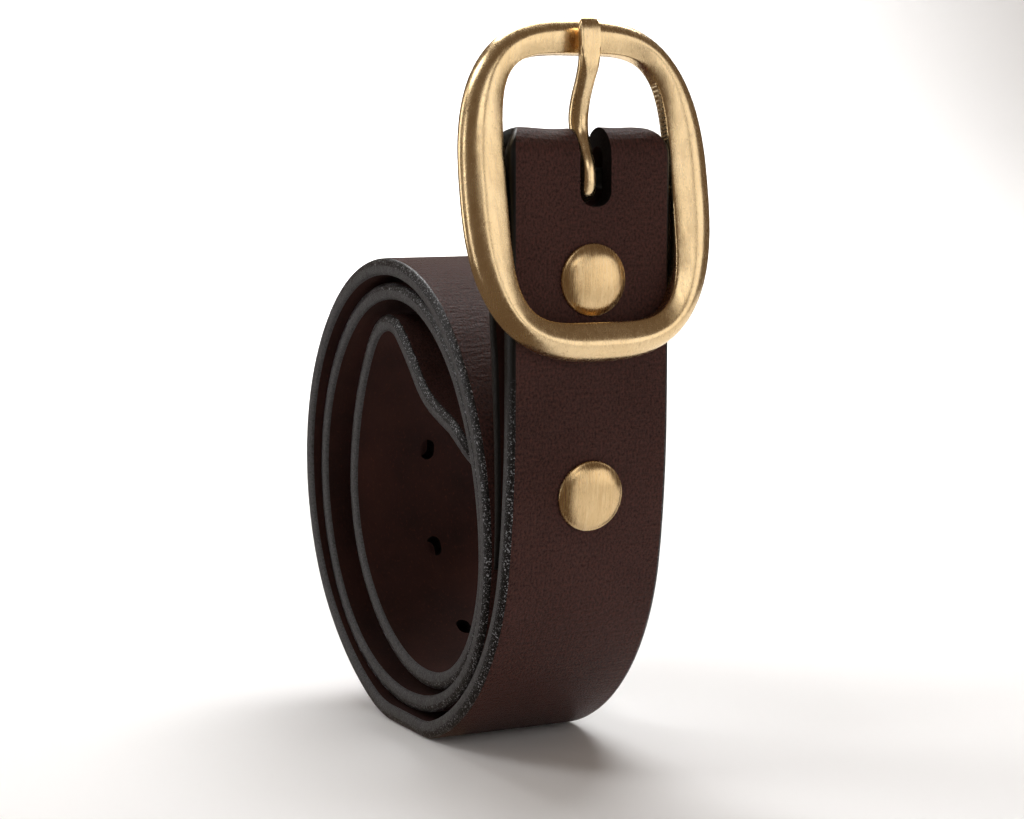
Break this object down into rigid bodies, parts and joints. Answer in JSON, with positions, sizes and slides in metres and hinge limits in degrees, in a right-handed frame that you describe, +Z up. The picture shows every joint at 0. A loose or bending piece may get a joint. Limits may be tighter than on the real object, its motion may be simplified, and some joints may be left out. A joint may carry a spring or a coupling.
{
  "type": "leather belt",
  "caption": "Leather dress belt, rolled, standing on its roll, with a centre-bar brass buckle and press-studded turned-back end",
  "frame": {"origin": "On the surface the roll stands on, under the middle of the bounding box", "axes": "+Z up; X across the strap's width, the shortest extent; +Y from the buckle back through the roll"},
  "size_m": [0.0592, 0.1218, 0.1618],
  "materials": {
    "leather": "dark brown bridle leather, smooth waxed grain side, painted black edges, dyed red-brown flesh side with short fibres",
    "buckle_brass": "satin cast brass, softly brushed",
    "snap_brass": "satin brass, straight brush marks"
  },
  "bodies": {
    "strap_body": {"strap": "leather", "snap_cap_upper": "snap_brass", "snap_socket_upper": "snap_brass", "snap_stud_upper": "snap_brass", "snap_post_upper": "snap_brass", "snap_cap_lower": "snap_brass", "snap_socket_lower": "snap_brass", "snap_stud_lower": "snap_brass", "snap_post_lower": "snap_brass"},
    "buckle_body": {"buckle_frame": "buckle_brass", "centre_bar": "buckle_brass"},
    "prong_body": {"prong": "buckle_brass"}
  },
  "joints": [
    {"name": "buckle_swing", "type": "hinge", "parent": "strap_body", "child": "buckle_body", "pos_m": [0, -0.04784, 0.1278], "axis": [-1, 0, 0], "range_deg": [0, 110]},
    {"name": "prong_swing", "type": "hinge", "parent": "buckle_body", "child": "prong_body", "pos_m": [0, -0.04784, 0.1278], "axis": [1, 0, 0], "range_deg": [0, 95]}
  ]
}
